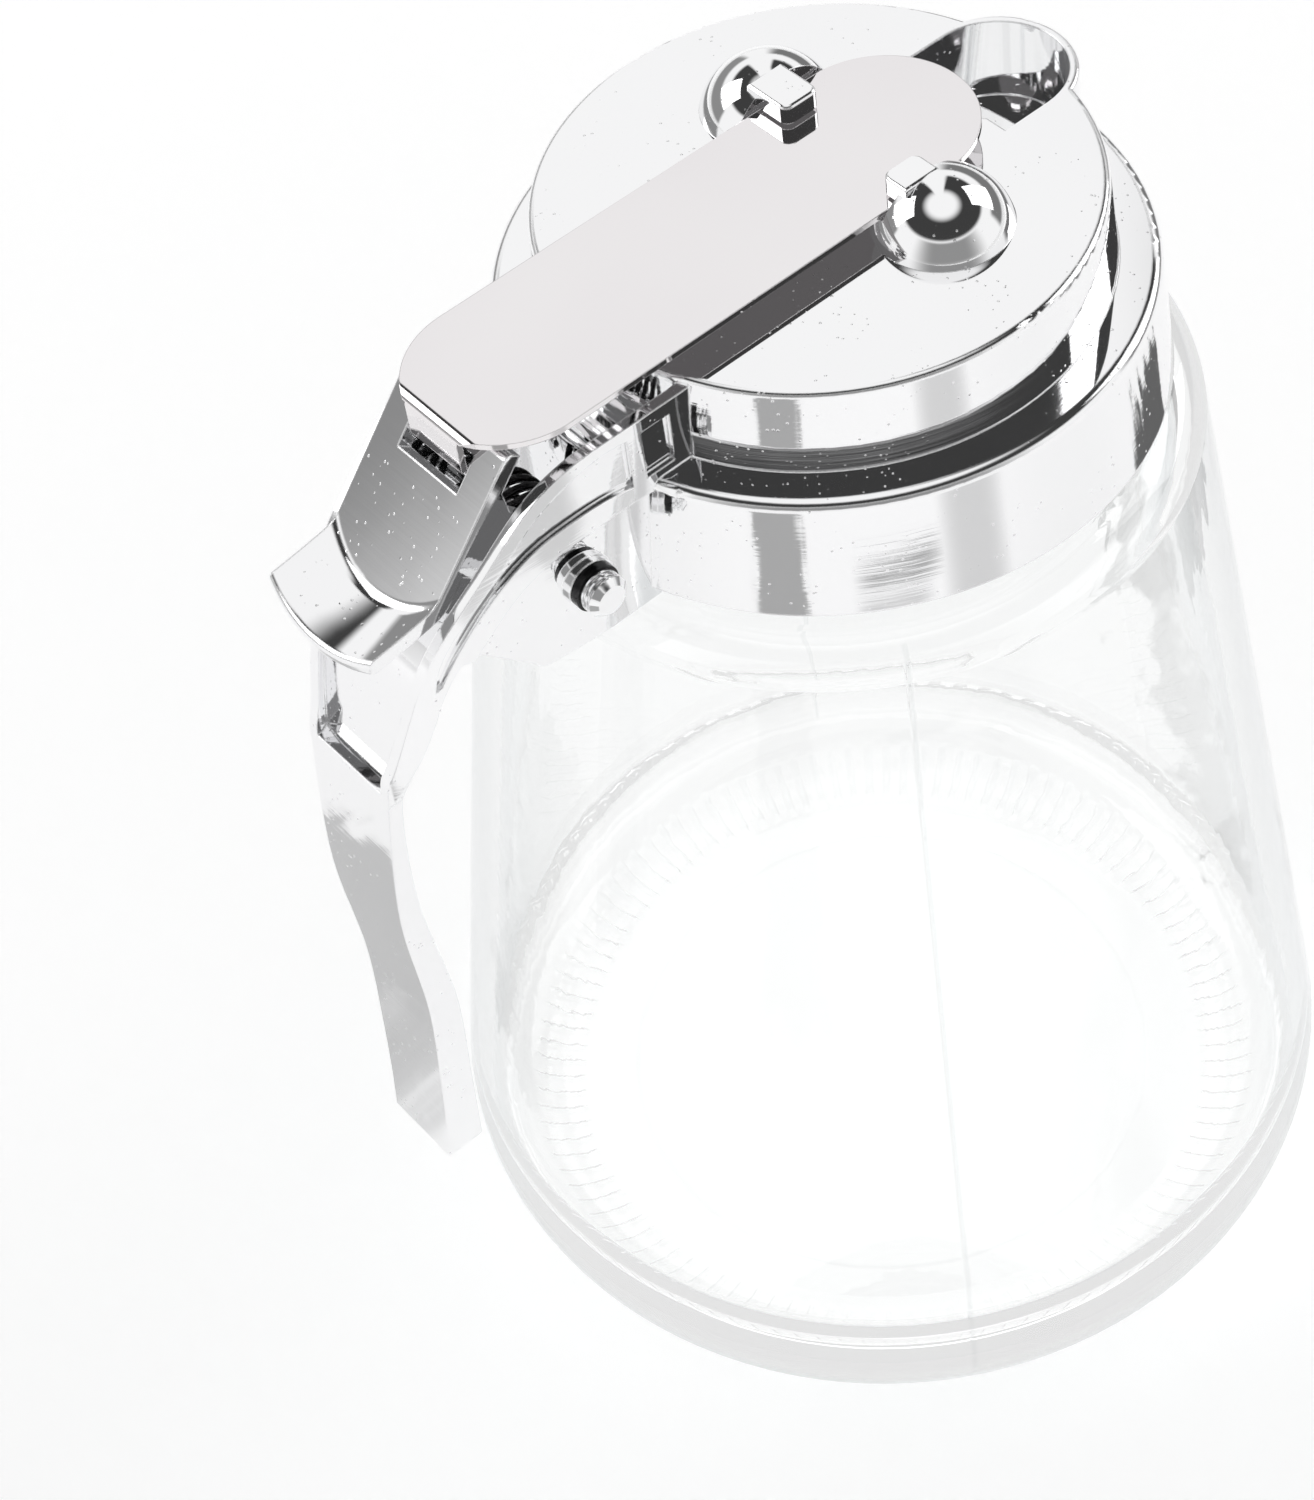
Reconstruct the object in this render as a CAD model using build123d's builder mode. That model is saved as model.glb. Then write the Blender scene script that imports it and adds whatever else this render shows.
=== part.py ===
"""Syrup dispenser: a glass jar with a plated pouring lid, a sliding shutter blade and a thumb lever.

Frame: origin on the jar's axis at the base, +Z up, the spout on +X, the handle on -X. Millimetres.
"""

from build123d import *
from math import atan2, cos, pi, radians, sin, sqrt, tan
import os

# ---------------------------------------------------------------- jar
shoulder_height = 111.6
shoulder_rise = 0.6             # from the shoulder's corner to the root of the neck
neck_height = 11.8              # root of the neck to its rim
neck_radius = 27.6
neck_wall = 3.4
shoulder_width = 6.2            # from the neck out to the corner of the shoulder
wall_spread = 16.9              # how far the wall's line leans out from the shoulder to the base
heel_fillet = 11.4
shoulder_fillet = 4.8
neck_root_fillet = 1.3
rim_fillet = 1.0
glass_wall = 3.0
glass_base = 9.0
inner_heel_fillet = 8.0
inner_shoulder_fillet = 3.0
inner_neck_fillet = 2.0

# ---------------------------------------------------------------- sealing ring
seal_thickness = 1.1
seal_inset = 0.4                # inner edge, out from the bore of the neck
seal_overhang = 0.6             # outer edge, out from the neck
seal_gap = 0.05                 # to the rim below and to the cap above

# ---------------------------------------------------------------- cap
neck_clearance = 1.0            # radial room for the thread between neck and skirt
skirt_wall = 1.4                # at the ledge
skirt_flare = 1.2               # the skirt leans out by this much, down to its open edge
skirt_gap = 2.2                 # root of the neck up to the open edge of the skirt
ledge_thickness = 1.8
ledge_width = 3.9
ledge_fillet = 1.0
tier_height = 8.5
tier_lean = 0.7
tier_fillet = 0.6
tier_wall = 1.8
top_thickness = 2.0

# ---------------------------------------------------------------- spout well
slot_flat_inset = 9.8           # square end of the opening, in from the foot of the tier
slot_centre_inset = 4.7         # centre of the round end
slot_half_width = 6.7
spout_wall = 0.9
spout_lip_fillet = 0.4

# ---------------------------------------------------------------- shutter blade
blade_thickness = 0.6
blade_half_width = 8.9
blade_lift = 2.0                # underside above the top of the cap
blade_past_slot = 0.2           # tip beyond the square end of the opening, spout open
tab_half_width = 3.5
tab_out = 6.4                   # outer face of the bent tab, beyond the pivot's axis
rear_centre_inset = 8.1         # centre of the round rear end, in from that face
tab_length = 4.1                # below the top of the blade
tab_bend_outer = 1.0
tab_bend_inner = 0.4

# ---------------------------------------------------------------- guide studs
stud_x = 4.4
stud_out = 2.4                  # middle of the stud beyond the edge of the blade
stud_base_radius = 6.3
stud_height = 4.9
stud_side_gap = 0.3             # edge of the blade to the wall of the groove
stud_land_gap = 0.1             # underside of the blade to the land below it
hook_gap = 0.3                  # top of the blade to the hook above it
hook_drop = 0.1                 # top of the hook below the top of the dome
hook_start = -3.05              # along the blade, from the middle of the stud
hook_length = 4.0
hook_reach_left = 4.1           # over the blade, in from the wall of the groove
hook_reach_right = 2.1
hook_root = 1.0                 # how far the hook runs into the dome
hook_corner = 0.9
hook_edge = 0.3
spigot_radius = 2.5
spigot_clearance = 0.03
spigot_extra = 0.5              # end of the spigot below the top plate

# ---------------------------------------------------------------- lever housing, arm and grip
housing_half_width = 10.0
web_wall = 1.1
panel_recess = 0.5              # raised rims above the recessed panels
web_top_drop = 0.7              # top of the webs below the top of the cap
arm_reach = 27.3                # outward from the skirt to where the arm becomes the grip
arm_fall = 32.8                 # top of the webs down to there
grip_length = 52.4
cross_rib = 0.9
cross_rib_start = 0.6           # outward from the foot of the tier
cross_rib_pitch = 1.8

# ---------------------------------------------------------------- pivot
pin_out = 5.0                   # pin's axis outside the skirt
pin_below_blade = 16.9
pin_radius = 2.05
web_bore_clearance = 0.03
ear_bore_clearance = 0.05
boss_wall = 0.4
boss_stand_out = 0.2            # beyond the half width of the housing
pin_beyond_boss = 2.7
pin_dome = 0.6
ring_thickness = 0.7
ring_side_gap = 0.05
ring_lip = 0.25                 # ring stands out of the pin
ring_bore_clearance = 0.03
ring_mouth = 1.4
groove_depth = 0.55
head_groove_depth = 0.22
head_groove_width = 0.28
head_groove_start = 0.4         # beyond the ring
head_groove_pitch = 0.55

# ---------------------------------------------------------------- thumb lever
lever_slope = 49.0              # plate against the horizontal, pressed
plate_face = 13.8               # outer face from the pivot's axis
plate_thickness = 1.5
plate_inset = 2.85              # edge of the plate, in from the half width of the housing
plate_top = -9.9                # along the plate, from the foot of the pivot's axis
plate_top_round = 0.7
window_start = -8.0
window_end = -4.3
window_side_gap = 0.5           # tab to the side of the window
ear_thickness = 1.4
ear_side_gap = 0.25             # ear to the boss beside it
ear_wall = 1.3                  # round the bore
ear_start = -6.3
ear_nose = -4.7
ear_depth = 3.4
ear_foot = 1.8
rest_radius = 10.5              # the dished crease where the thumb rest starts
rest_centre = -2.9
rest_reach = 5.2                # the flare, outward and down
rest_corner = 3.2
rest_back_fillet = 2.2
rest_face_fillet = 1.5
rest_rim_fillet = 0.55
spine_clearance = 0.6           # ears of the lever to the end of the spine

# ---------------------------------------------------------------- torsion spring
wire_radius = 0.4
coil_radius = 3.6               # to the middle of the wire
coil_pitch = 1.3
coil_turns = 4
coil_start_angle = 12.0         # the leg down to the skirt
coil_end_angle = 74.0           # the leg up to the lever
spring_seat_gap = 0.25
foot_length = 2.4
foot_bend = 1.2

# ---------------------------------------------------------------- heights and places that follow
neck_root_z = shoulder_height + shoulder_rise
jar_height = neck_root_z + neck_height
shoulder_radius = neck_radius + shoulder_width
wall_base_radius = shoulder_radius + wall_spread
neck_bore = neck_radius - neck_wall

ceiling_z = jar_height + seal_thickness + 2 * seal_gap
ledge_z = ceiling_z + ledge_thickness
skirt_z = neck_root_z + skirt_gap
top_z = ledge_z + tier_height
blade_z = top_z + blade_lift
blade_top_z = blade_z + blade_thickness
web_top_z = top_z - web_top_drop
arm_end_z = web_top_z - arm_fall
tier_ceiling_z = top_z - top_thickness

skirt_bore = neck_radius + neck_clearance
ledge_radius = skirt_bore + skirt_wall
skirt_radius = ledge_radius + skirt_flare
tier_base_radius = ledge_radius - ledge_width
tier_top_radius = tier_base_radius - tier_lean
tier_bore = tier_base_radius - tier_wall
slot_flat_x = tier_base_radius - slot_flat_inset
slot_centre_x = tier_base_radius - slot_centre_inset
spout_radius = slot_half_width + spout_wall

pin_x = -(skirt_radius + pin_out)
pin_z = blade_z - pin_below_blade
blade_tip_centre_x = slot_flat_x + blade_past_slot - blade_half_width
tab_face_x = pin_x - tab_out
blade_rear_centre_x = tab_face_x + rear_centre_inset
stud_y = blade_half_width + stud_out
stud_top_z = top_z + stud_height

plate_half_width = housing_half_width - plate_inset
plate_back = plate_face - plate_thickness
ear_inner_y = plate_half_width - ear_thickness
ear_radius = pin_radius + ear_bore_clearance + ear_wall
boss_radius = pin_radius + web_bore_clearance + boss_wall
boss_outer_y = housing_half_width + boss_stand_out
boss_inner_y = plate_half_width + ear_side_gap
ring_start_y = boss_outer_y + ring_side_gap
ring_end_y = ring_start_y + ring_thickness
ring_radius = pin_radius + ring_lip
groove_radius = pin_radius - groove_depth
pin_half_length = boss_outer_y + pin_beyond_boss

# Directions of the lever in its pressed pose: along the plate towards the thumb, and out of its face.
slope = radians(lever_slope)
along = Vector(-cos(slope), 0, -sin(slope))
outward = Vector(-sin(slope), 0, cos(slope))
pivot = Vector(pin_x, 0, pin_z)


def arm_point(out, down):
    """A point in the mirror plane: parts of the arm's reach beyond the skirt, parts of its fall."""
    return (-(skirt_radius + out * arm_reach), web_top_z - down * arm_fall)


def grip_point(out, down):
    """A point in the mirror plane beyond and below the arm's end, in parts of the grip's length."""
    return (-(skirt_radius + arm_reach + out * grip_length), arm_end_z - down * grip_length)


def lever_point(run, height):
    """A point in the mirror plane by its run along the lever and its height from the pivot."""
    place = pivot + along * run + outward * height
    return (place.X, place.Z)


def nearest(shape_list, x, y):
    """The vertex of a sketch that lies nearest to a point."""
    return shape_list.sort_by_distance((x, y, 0))[0]


# ================================================================ glass jar
wall_lean = wall_spread / shoulder_height
wall_shift = glass_wall * sqrt(1 + wall_lean**2)
inner_shoulder_z = shoulder_height - glass_wall
inner_neck_z = inner_shoulder_z + shoulder_rise
inner_floor_radius = wall_base_radius - wall_lean * glass_base - wall_shift
inner_shoulder_radius = wall_base_radius - wall_lean * inner_shoulder_z - wall_shift
beyond = glass_wall             # how far a cut runs past the face it opens

with BuildPart() as glass_jar:
    with BuildSketch(Plane.XZ) as jar_outside:
        with BuildLine():
            Polyline(
                (0, 0),
                (wall_base_radius, 0),
                (shoulder_radius, shoulder_height),
                (neck_radius, neck_root_z),
                (neck_radius, jar_height),
                (0, jar_height),
                close=True,
            )
        make_face()
        fillet(nearest(jar_outside.vertices(), wall_base_radius, 0), heel_fillet)
        fillet(nearest(jar_outside.vertices(), shoulder_radius, shoulder_height), shoulder_fillet)
        fillet(nearest(jar_outside.vertices(), neck_radius, neck_root_z), neck_root_fillet)
        fillet(nearest(jar_outside.vertices(), neck_radius, jar_height), rim_fillet)
    revolve(axis=Axis.Z)
    with BuildSketch(Plane.XZ) as jar_inside:
        with BuildLine():
            Polyline(
                (0, glass_base),
                (inner_floor_radius, glass_base),
                (inner_shoulder_radius, inner_shoulder_z),
                (neck_bore, inner_neck_z),
                (neck_bore, jar_height + beyond),
                (0, jar_height + beyond),
                close=True,
            )
        make_face()
        fillet(nearest(jar_inside.vertices(), inner_floor_radius, glass_base), inner_heel_fillet)
        fillet(
            nearest(jar_inside.vertices(), inner_shoulder_radius, inner_shoulder_z),
            inner_shoulder_fillet,
        )
        fillet(nearest(jar_inside.vertices(), neck_bore, inner_neck_z), inner_neck_fillet)
    revolve(axis=Axis.Z, mode=Mode.SUBTRACT)

# ================================================================ sealing ring
with BuildPart() as sealing_ring:
    with BuildSketch(Plane.XY.offset(jar_height + seal_gap)):
        Circle(neck_radius + seal_overhang)
        Circle(neck_bore + seal_inset, mode=Mode.SUBTRACT)
    extrude(amount=seal_thickness)

# ================================================================ lid body
# Stations along the arm, seen from above: parts of its reach, parts of the housing's half width.
arm_stations = (
    (0.03, 1.00),
    (0.32, 0.95),
    (0.69, 0.86),
    (0.87, 0.71),
    (0.96, 0.58),
)


def plan_of_arm(inset):
    """Plan outline of the arm, seen from above, drawn in from its sides by an inset."""
    right = [
        (-(skirt_radius + part * arm_reach), width * housing_half_width - inset)
        for part, width in arm_stations
    ]
    left = [(x, -y) for x, y in reversed(right)]
    start_x = -skirt_radius / 2
    end_x = -(skirt_radius + 1.3 * arm_reach)
    Line((start_x, right[0][1]), right[0])
    Spline(*right, tangents=[(-1, 0), (-0.9, -0.5)])
    Line(right[-1], (end_x, right[-1][1]))
    Line((end_x, right[-1][1]), (end_x, left[0][1]))
    Line((end_x, left[0][1]), left[0])
    Spline(*left, tangents=[(0.9, -0.5), (1, 0)])
    Line(left[-1], (start_x, left[-1][1]))
    Line((start_x, left[-1][1]), (start_x, right[0][1]))


# What is taken out between the two webs. The spine closes the far end of the trough.
spine_upper_end = lever_point(ear_foot + spine_clearance, plate_back - 1.55 * plate_thickness)
spine_lower_end = lever_point(ear_foot + 1.8 * spine_clearance, plate_back - 2.6 * plate_thickness)

with BuildPart() as trough:
    with BuildSketch(Plane.XZ):
        with BuildLine():
            Polyline(
                spine_upper_end,
                spine_lower_end,
                arm_point(0.582, 0.40),
                arm_point(0.667, 0.47),
                arm_point(0.667, 0.97),
                arm_point(-0.44, 0.97),
                arm_point(-0.44, -0.13),
                arm_point(1.10, -0.13),
                arm_point(1.10, 0.872),
                arm_point(0.927, 0.872),
            )
            Spline(
                arm_point(0.927, 0.872),
                arm_point(0.886, 0.744),
                arm_point(0.839, 0.634),
                arm_point(0.755, 0.488),
                arm_point(0.623, 0.366),
                spine_upper_end,
            )
        make_face()
    extrude(amount=2 * housing_half_width, both=True)
    with BuildSketch(Plane.XY.offset(arm_end_z)):
        with BuildLine():
            plan_of_arm(web_wall)
        make_face()
    extrude(amount=2 * arm_fall, mode=Mode.INTERSECT)

# Recessed panels on the outside of the webs, between the raised rims.
with BuildPart() as panels:
    with BuildSketch(Plane.XZ):
        with BuildLine():
            Spline(
                arm_point(-0.033, 0.046),
                arm_point(0.198, 0.058),
                arm_point(0.326, 0.116),
                arm_point(0.527, 0.259),
                arm_point(0.663, 0.351),
                arm_point(0.766, 0.518),
            )
            Line(arm_point(0.766, 0.518), arm_point(0.740, 0.506))
            Spline(
                arm_point(0.740, 0.506),
                arm_point(0.608, 0.360),
                arm_point(0.473, 0.271),
                arm_point(0.238, 0.198),
                arm_point(-0.033, 0.210),
            )
            Line(arm_point(-0.033, 0.210), arm_point(-0.033, 0.046))
        make_face()
        with BuildLine():
            Polyline(
                arm_point(-0.198, 0.046),
                arm_point(-0.088, 0.046),
                arm_point(-0.088, 0.210),
                arm_point(-0.198, 0.210),
                close=True,
            )
        make_face()
        with BuildLine():
            Spline(
                arm_point(-0.220, 0.287),
                arm_point(0.227, 0.277),
                arm_point(0.443, 0.345),
                arm_point(0.560, 0.424),
                arm_point(0.645, 0.488),
            )
            Polyline(
                arm_point(0.645, 0.488),
                arm_point(0.703, 0.726),
                arm_point(-0.220, 0.726),
                arm_point(-0.220, 0.287),
            )
        make_face()
    extrude(amount=2 * housing_half_width, both=True)
    with BuildSketch(Plane.XY.offset(arm_end_z)):
        with BuildLine():
            plan_of_arm(panel_recess)
        make_face()
    extrude(amount=2 * arm_fall, mode=Mode.SUBTRACT)


def spout_plan(half_width, flat_x):
    """Plan of the spout opening: a round end and a square end."""
    with Locations((slot_centre_x, 0)):
        Circle(half_width)
    with Locations(((flat_x + slot_centre_x) / 2, 0)):
        Rectangle(slot_centre_x - flat_x, 2 * half_width)


# The round end of the well stands out of the tier, over the ledge.
with BuildPart() as spout_well:
    with BuildSketch(Plane.XY.offset(ceiling_z)):
        spout_plan(spout_radius, slot_flat_x - spout_wall)
    extrude(amount=top_z - ceiling_z)
    fillet(
        spout_well.edges().filter_by(GeomType.CIRCLE).group_by(Axis.Z)[-1],
        spout_lip_fillet,
    )
    with BuildSketch(Plane.XY.offset(ceiling_z)):
        spout_plan(slot_half_width, slot_flat_x)
    extrude(amount=top_z - ceiling_z, mode=Mode.SUBTRACT)

arm_end = arm_point(1.0, 1.0)
throat_end = arm_point(0.912, 0.866)
throat_start = arm_point(0.667, 0.463)
web_corner = arm_point(0.337, 0.665)
web_foot = arm_point(-0.33, 0.665)
web_head = arm_point(-0.33, 0.0)
grip_heel = grip_point(0.0477, 1.0)
grip_toe = grip_point(-0.0324, 1.0)

with BuildPart() as lid_body:
    # webs, arm and grip as one side outline
    with BuildSketch(Plane.XZ):
        with BuildLine():
            Line(web_head, arm_point(-0.037, 0.0))
            Spline(
                arm_point(-0.037, 0.0),
                arm_point(0.212, 0.015),
                arm_point(0.359, 0.079),
                arm_point(0.557, 0.223),
                arm_point(0.707, 0.342),
                arm_point(0.857, 0.576),
                arm_point(0.956, 0.805),
                arm_end,
                tangents=[(-1, 0), (-0.12, -1)],
            )
            Spline(
                arm_end,
                grip_point(0.0229, 0.275),
                grip_point(0.0115, 0.521),
                grip_point(0.0210, 0.712),
                grip_heel,
                tangents=[(-0.12, -1), (-0.12, -1)],
            )
            Line(grip_heel, grip_toe)
            Spline(
                grip_toe,
                grip_point(-0.042, 0.782),
                grip_point(-0.0496, 0.534),
                grip_point(-0.0248, 0.275),
                grip_point(-0.0267, 0.038),
                throat_end,
                tangents=[(0.05, 1), (0.35, 1)],
            )
            Spline(
                throat_end,
                arm_point(0.799, 0.655),
                arm_point(0.714, 0.509),
                throat_start,
                tangents=[(0.35, 1), (1, 1)],
            )
            Line(throat_start, arm_point(0.586, 0.479))
            Line(arm_point(0.586, 0.479), arm_point(0.410, 0.631))
            ThreePointArc(arm_point(0.410, 0.631), arm_point(0.381, 0.659), web_corner)
            Line(web_corner, web_foot)
            Line(web_foot, web_head)
        make_face()
    extrude(amount=2 * housing_half_width, both=True)
    with BuildSketch(Plane.XY):
        with BuildLine():
            plan_of_arm(0)
        make_face()
    extrude(amount=top_z + tier_height, mode=Mode.INTERSECT)

    # seen from the handle's end, the arm narrows into the grip
    front_stations = (
        (0.44, grip_point(0, 1.01)[1]),
        (0.50, grip_point(0, 0.48)[1]),
        (0.57, arm_point(0, 0.909)[1]),
        (0.74, arm_point(0, 0.741)[1]),
        (1.40, arm_point(0, 0.671)[1]),
        (1.40, arm_point(0, -0.13)[1]),
    )
    with BuildSketch(Plane.YZ):
        with BuildLine():
            right_edge = [(width * housing_half_width, z) for width, z in front_stations]
            left_edge = [(-y, z) for y, z in reversed(right_edge)]
            Polyline(*right_edge, *left_edge, close=True)
        make_face()
    extrude(amount=-(skirt_radius + 2 * arm_reach), mode=Mode.INTERSECT)
    add(trough.part, mode=Mode.SUBTRACT)
    add(panels.part, mode=Mode.SUBTRACT)

    # bosses round the pin, on both sides of both webs
    with BuildSketch(Plane.XZ.offset(-boss_outer_y)):
        with Locations((pin_x, pin_z)):
            Circle(boss_radius)
    extrude(amount=boss_outer_y - boss_inner_y)
    with BuildSketch(Plane.XZ.offset(boss_inner_y)):
        with Locations((pin_x, pin_z)):
            Circle(boss_radius)
    extrude(amount=boss_outer_y - boss_inner_y)

    # stepped cap, solid at first
    with BuildSketch(Plane.XZ) as cap_outside:
        with BuildLine():
            Polyline(
                (0, top_z),
                (tier_top_radius, top_z),
                (tier_base_radius, ledge_z),
                (ledge_radius, ledge_z),
                (skirt_radius, skirt_z),
                (0, skirt_z),
                close=True,
            )
        make_face()
        fillet(nearest(cap_outside.vertices(), tier_top_radius, top_z), tier_fillet)
        fillet(nearest(cap_outside.vertices(), ledge_radius, ledge_z), ledge_fillet)
    revolve(axis=Axis.Z)

    # hollow of the cap: bore for the neck, then the smaller hollow under the tier
    with BuildSketch(Plane.XZ):
        with BuildLine():
            Polyline(
                (0, skirt_z - beyond),
                (skirt_bore, skirt_z - beyond),
                (skirt_bore, ceiling_z),
                (tier_bore, ceiling_z),
                (tier_bore, tier_ceiling_z),
                (0, tier_ceiling_z),
                close=True,
            )
        make_face()
    revolve(axis=Axis.Z, mode=Mode.SUBTRACT)

    # spout well
    add(spout_well.part)
    with BuildSketch(Plane.XY.offset(ledge_z)):
        spout_plan(slot_half_width, slot_flat_x)
    extrude(amount=top_z - ledge_z + beyond, mode=Mode.SUBTRACT)

    # low cross ribs between the webs, on the ledge
    cross_rib_middle = tier_base_radius + cross_rib_start + cross_rib / 2
    with BuildSketch(Plane.XY.offset(ledge_z - cross_rib / 2)):
        with Locations((-cross_rib_middle, 0), (-cross_rib_middle - cross_rib_pitch, 0)):
            Rectangle(cross_rib, 2 * housing_half_width - web_wall)
    extrude(amount=1.5 * cross_rib)

    # holes for the studs and the pin
    with BuildSketch(Plane.XY.offset(tier_ceiling_z - beyond)):
        with Locations((stud_x, stud_y), (stud_x, -stud_y)):
            Circle(spigot_radius + spigot_clearance)
    extrude(amount=top_thickness + 2 * beyond, mode=Mode.SUBTRACT)
    with BuildSketch(Plane.XZ):
        with Locations((pin_x, pin_z)):
            Circle(pin_radius + web_bore_clearance)
    extrude(amount=pin_half_length, both=True, mode=Mode.SUBTRACT)

# ================================================================ guide studs
dome_sphere = (stud_base_radius**2 + stud_height**2) / (2 * stud_height)
dome_middle = radians(38)
groove_y = blade_half_width + stud_side_gap
land_z = blade_z - stud_land_gap
hook_z = blade_top_z + hook_gap
hook_thickness = stud_top_z - hook_drop - hook_z


def build_hook(side, reach):
    """The hooked tab that holds one edge of the blade down."""
    with BuildPart() as hook:
        with BuildSketch(Plane.XY.offset(hook_z)) as plan:
            with Locations(
                (
                    stud_x + hook_start + hook_length / 2,
                    side * (groove_y + (hook_root - reach) / 2),
                )
            ):
                Rectangle(hook_length, reach + hook_root)
            inner_corners = plan.vertices().group_by(Axis.Y)[0 if side > 0 else -1]
            fillet(inner_corners, hook_corner)
        extrude(amount=hook_thickness)
        fillet(hook.faces().sort_by(Axis.Z)[-1].edges(), hook_edge)
    return hook


def build_stud(side, reach):
    """A domed stud with a groove for the edge of the blade and a hook over it."""
    hook = build_hook(side, reach)
    with BuildPart() as stud:
        with BuildSketch(Plane.XZ.offset(-side * stud_y)):
            with BuildLine():
                Line((stud_x, top_z), (stud_x + stud_base_radius, top_z))
                ThreePointArc(
                    (stud_x + stud_base_radius, top_z),
                    (
                        stud_x + dome_sphere * sin(dome_middle),
                        stud_top_z - dome_sphere * (1 - cos(dome_middle)),
                    ),
                    (stud_x, stud_top_z),
                )
                Line((stud_x, stud_top_z), (stud_x, top_z))
            make_face()
        revolve(axis=Axis((stud_x, side * stud_y, 0), (0, 0, 1)))
        with BuildSketch(Plane.XY.offset(land_z)):
            with Locations((stud_x, side * (groove_y - stud_base_radius))):
                Rectangle(3 * stud_base_radius, 2 * stud_base_radius)
        extrude(amount=2 * stud_height, mode=Mode.SUBTRACT)
        add(hook.part)
        with BuildSketch(Plane.XY.offset(tier_ceiling_z - spigot_extra)):
            with Locations((stud_x, side * stud_y)):
                Circle(spigot_radius)
        extrude(amount=top_thickness + spigot_extra)
    return stud


guide_stud_left = build_stud(1, hook_reach_left)
guide_stud_right = build_stud(-1, hook_reach_right)

# ================================================================ shutter blade
tab_back_x = tab_face_x + blade_thickness
tab_foot_z = blade_top_z - tab_length

# Plan of the blade, and of the narrower tab below it.
with BuildPart() as blade_room:
    with BuildSketch(Plane.XY.offset(blade_z)):
        with Locations((blade_tip_centre_x, 0), (blade_rear_centre_x, 0)):
            Circle(blade_half_width)
        with Locations(((blade_tip_centre_x + blade_rear_centre_x) / 2, 0)):
            Rectangle(blade_tip_centre_x - blade_rear_centre_x, 2 * blade_half_width)
    extrude(amount=blade_thickness)
    with BuildSketch(Plane.XY.offset(blade_z)):
        with Locations((tab_back_x, 0)):
            Rectangle(4 * blade_thickness, 2 * tab_half_width)
    extrude(amount=-tab_length)

with BuildPart() as shutter_blade:
    with BuildSketch(Plane.XZ) as bent_strip:
        with BuildLine():
            Polyline(
                (blade_tip_centre_x + blade_half_width, blade_z),
                (blade_tip_centre_x + blade_half_width, blade_top_z),
                (tab_face_x, blade_top_z),
                (tab_face_x, tab_foot_z),
                (tab_back_x, tab_foot_z),
                (tab_back_x, blade_z),
                close=True,
            )
        make_face()
        fillet(nearest(bent_strip.vertices(), tab_face_x, blade_top_z), tab_bend_outer)
        fillet(nearest(bent_strip.vertices(), tab_back_x, blade_z), tab_bend_inner)
    extrude(amount=blade_half_width, both=True)
    add(blade_room.part, mode=Mode.INTERSECT)

# ================================================================ thumb lever
lever_side = Plane(origin=pivot, x_dir=along, z_dir=(0, 1, 0))
lever_plan = Plane(origin=pivot, x_dir=along, z_dir=outward)
rest_edge = rest_centre + rest_radius
rest_tip = rest_edge + rest_reach

# The thumb rest flares outward from a dished crease.
with BuildPart() as thumb_rest:
    with BuildSketch(lever_side) as rest_profile:
        with BuildLine():
            Polyline(
                (rest_edge - plate_thickness, plate_back),
                (rest_edge + plate_thickness / 3, plate_back),
                (rest_tip + plate_thickness / 3, plate_back + rest_reach),
                (rest_tip - plate_thickness / 3, plate_face + 0.92 * rest_reach),
                (rest_edge, plate_face),
                (rest_edge - plate_thickness, plate_face),
                close=True,
            )
        make_face()
        corners = rest_profile.vertices
        fillet(nearest(corners(), rest_edge + plate_thickness / 3, plate_back), rest_back_fillet)
        fillet(nearest(corners(), rest_edge, plate_face), rest_face_fillet)
        fillet(
            nearest(corners(), rest_tip + plate_thickness / 3, plate_back + rest_reach),
            rest_rim_fillet,
        )
        fillet(
            nearest(corners(), rest_tip - plate_thickness / 3, plate_face + 0.92 * rest_reach),
            rest_rim_fillet,
        )
    revolve(axis=Axis(pivot + along * rest_centre, outward))
    with BuildSketch(lever_plan.offset(plate_back - plate_thickness)):
        with Locations((rest_tip - rest_corner, 0)):
            RectangleRounded(3 * rest_corner, 2 * plate_half_width, rest_corner)
        with Locations((rest_tip - 2 * rest_corner, 0)):
            Rectangle(3 * rest_corner, 2 * plate_half_width)
    extrude(amount=2 * rest_reach, mode=Mode.INTERSECT)

with BuildPart() as thumb_lever:
    with BuildSketch(lever_plan.offset(plate_back)):
        with Locations(((plate_top + rest_edge) / 2, 0)):
            Rectangle(rest_edge - plate_top, 2 * plate_half_width)
        with Locations((rest_centre, 0)):
            Circle(rest_radius - plate_thickness / 5, mode=Mode.INTERSECT)
    extrude(amount=plate_thickness)
    add(thumb_rest.part)
    with BuildSketch(lever_side.offset(ear_inner_y)):
        with BuildLine():
            Polyline(
                (ear_start, plate_back + plate_thickness / 5),
                (ear_start, plate_back),
                (ear_nose, plate_face - ear_depth),
                (-ear_radius, 0),
                (ear_radius, 0),
                (ear_foot, plate_face - 2 * ear_depth),
                (ear_foot, plate_back + plate_thickness / 5),
                close=True,
            )
        make_face()
        Circle(ear_radius)
    extrude(amount=ear_thickness)
    mirror(about=Plane.XZ)
    with BuildSketch(lever_plan.offset(plate_back - plate_thickness)):
        with Locations(((window_start + window_end) / 2, 0)):
            Rectangle(window_end - window_start, 2 * (tab_half_width + window_side_gap))
    extrude(amount=3 * plate_thickness, mode=Mode.SUBTRACT)
    with BuildSketch(lever_side):
        Circle(pin_radius + ear_bore_clearance)
    extrude(amount=2 * plate_half_width, both=True, mode=Mode.SUBTRACT)
    top_corner = pivot + along * plate_top + outward * plate_face
    fillet(
        thumb_lever.edges().filter_by(Axis.Y).sort_by_distance(top_corner)[0],
        plate_top_round,
    )

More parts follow.
